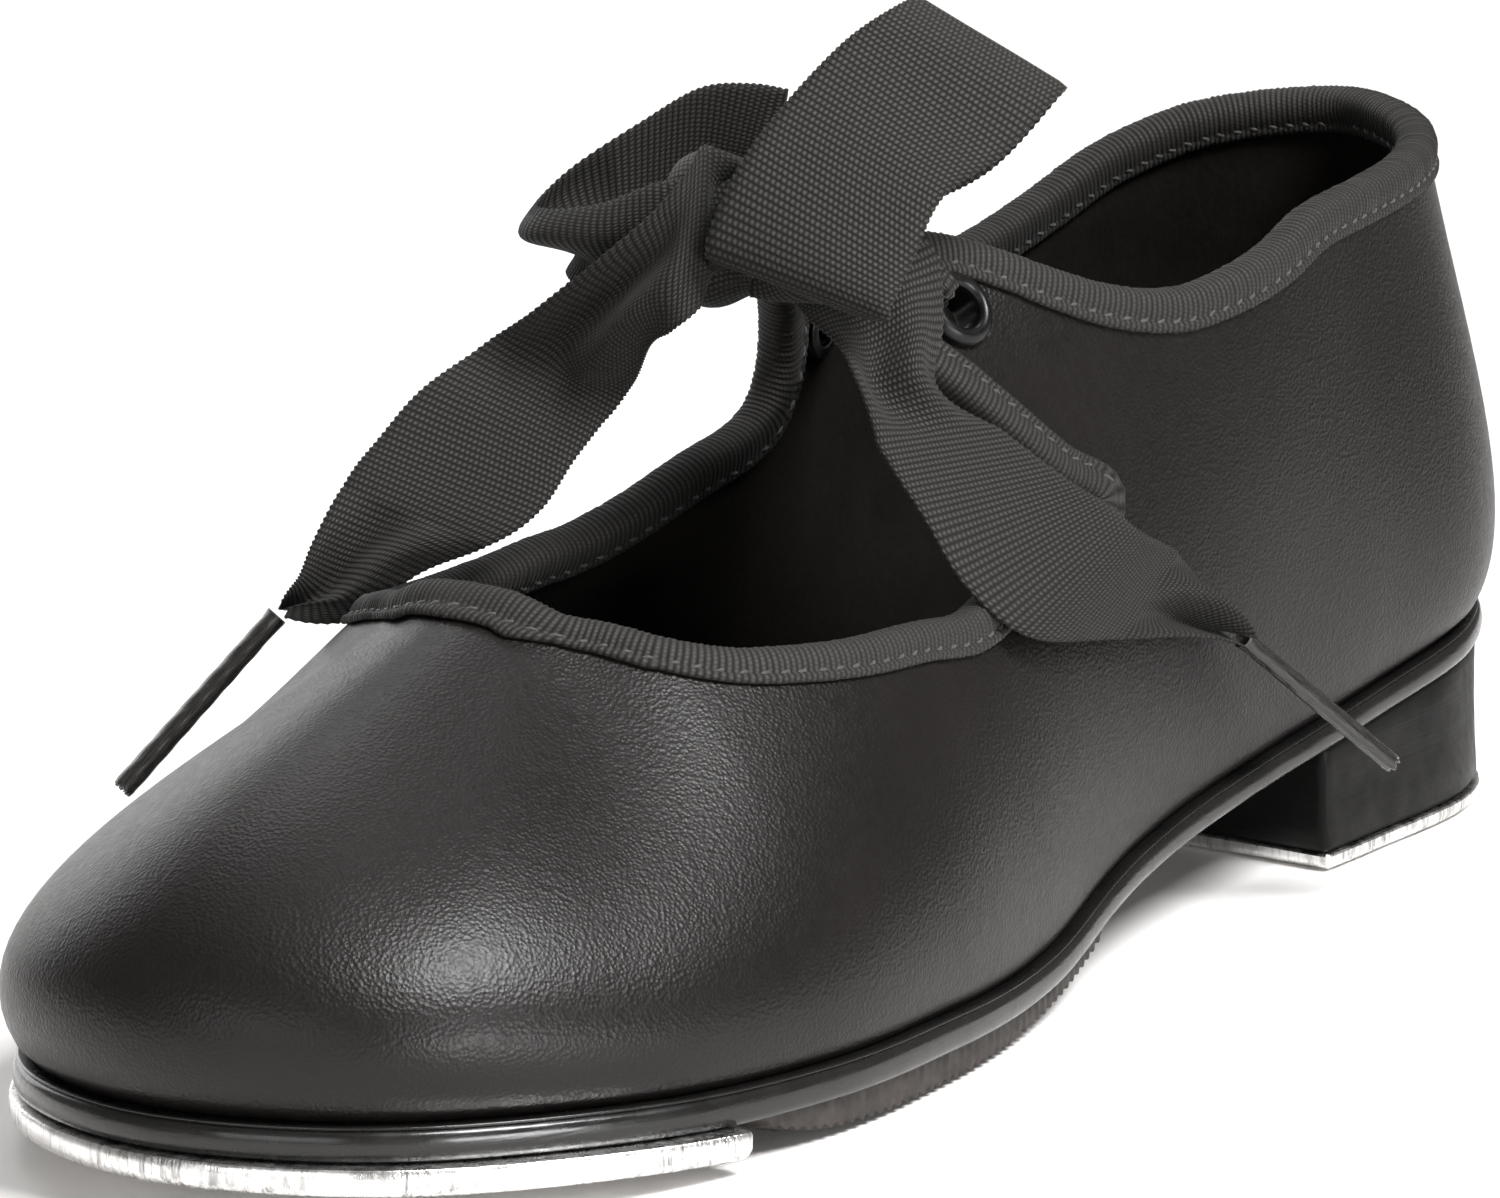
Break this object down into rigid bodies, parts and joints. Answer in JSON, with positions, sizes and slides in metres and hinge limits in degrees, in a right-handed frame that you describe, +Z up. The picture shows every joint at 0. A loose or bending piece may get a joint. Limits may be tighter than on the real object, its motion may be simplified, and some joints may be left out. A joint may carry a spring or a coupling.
{
  "type": "tap shoe",
  "caption": "Child's left tap shoe: black slip-in upper with a ribbon-tied instep, flexible sole, low heel, metal plates under the toe and heel.",
  "frame": {"origin": "centre of the heel tap's ground face", "axes": "+Z up from the ground, toe towards -Y, heel towards +Y, outer side of the left foot towards +X"},
  "size_m": [0.081, 0.2014, 0.0937],
  "materials": {
    "upper": "fine grain, satin",
    "lining": "brushed",
    "sock": "matt",
    "binding": "ribbed tape",
    "ribbon": "ribbed weave",
    "tip": "clear dark",
    "eyelet": "gloss black",
    "washer": "dull",
    "sole": "polished edge",
    "heel": "satin",
    "pad": "fine ribs",
    "tap": "polished",
    "screw": "plated",
    "steel": "plain",
    "board": "matt",
    "stiffener": "matt",
    "filler": "granular"
  },
  "bodies": {
    "shoe": {"outsole": "sole", "grip_pad": "pad", "toe_tap": "tap", "toe_tap_screws": "screw", "heel_block": "heel", "heel_tap": "tap", "heel_tap_screws": "screw", "heel_nails": "steel", "shank": "steel", "bottom_filler": "filler", "insole_board": "board", "sock_liner": "sock", "heel_counter": "stiffener", "toe_puff": "stiffener", "upper": "upper", "lining": "lining", "topline_binding": "binding", "outer_eyelet": "eyelet", "outer_eyelet_washer": "washer", "inner_eyelet": "eyelet", "inner_eyelet_washer": "washer", "ribbon_span": "ribbon", "ribbon_knot": "ribbon", "ribbon_loop_outer": "ribbon", "ribbon_loop_inner": "ribbon", "ribbon_lead_outer": "ribbon", "ribbon_lead_inner": "ribbon"},
    "outer_tail": {"ribbon_tail_outer": "ribbon", "aglet_outer": "tip"},
    "inner_tail": {"ribbon_tail_inner": "ribbon", "aglet_inner": "tip"}
  },
  "joints": [
    {"name": "outer_tail_swing", "type": "hinge", "parent": "shoe", "child": "outer_tail", "pos_m": [0.01015, -0.0776, 0.0675], "axis": [-0.4929, -0.7798, -0.3859], "range_deg": [0, 30]},
    {"name": "inner_tail_swing", "type": "hinge", "parent": "shoe", "child": "inner_tail", "pos_m": [-0.0182, -0.0912, 0.0595], "axis": [-0.9031, -0.134, 0.408], "range_deg": [0, 30]}
  ]
}
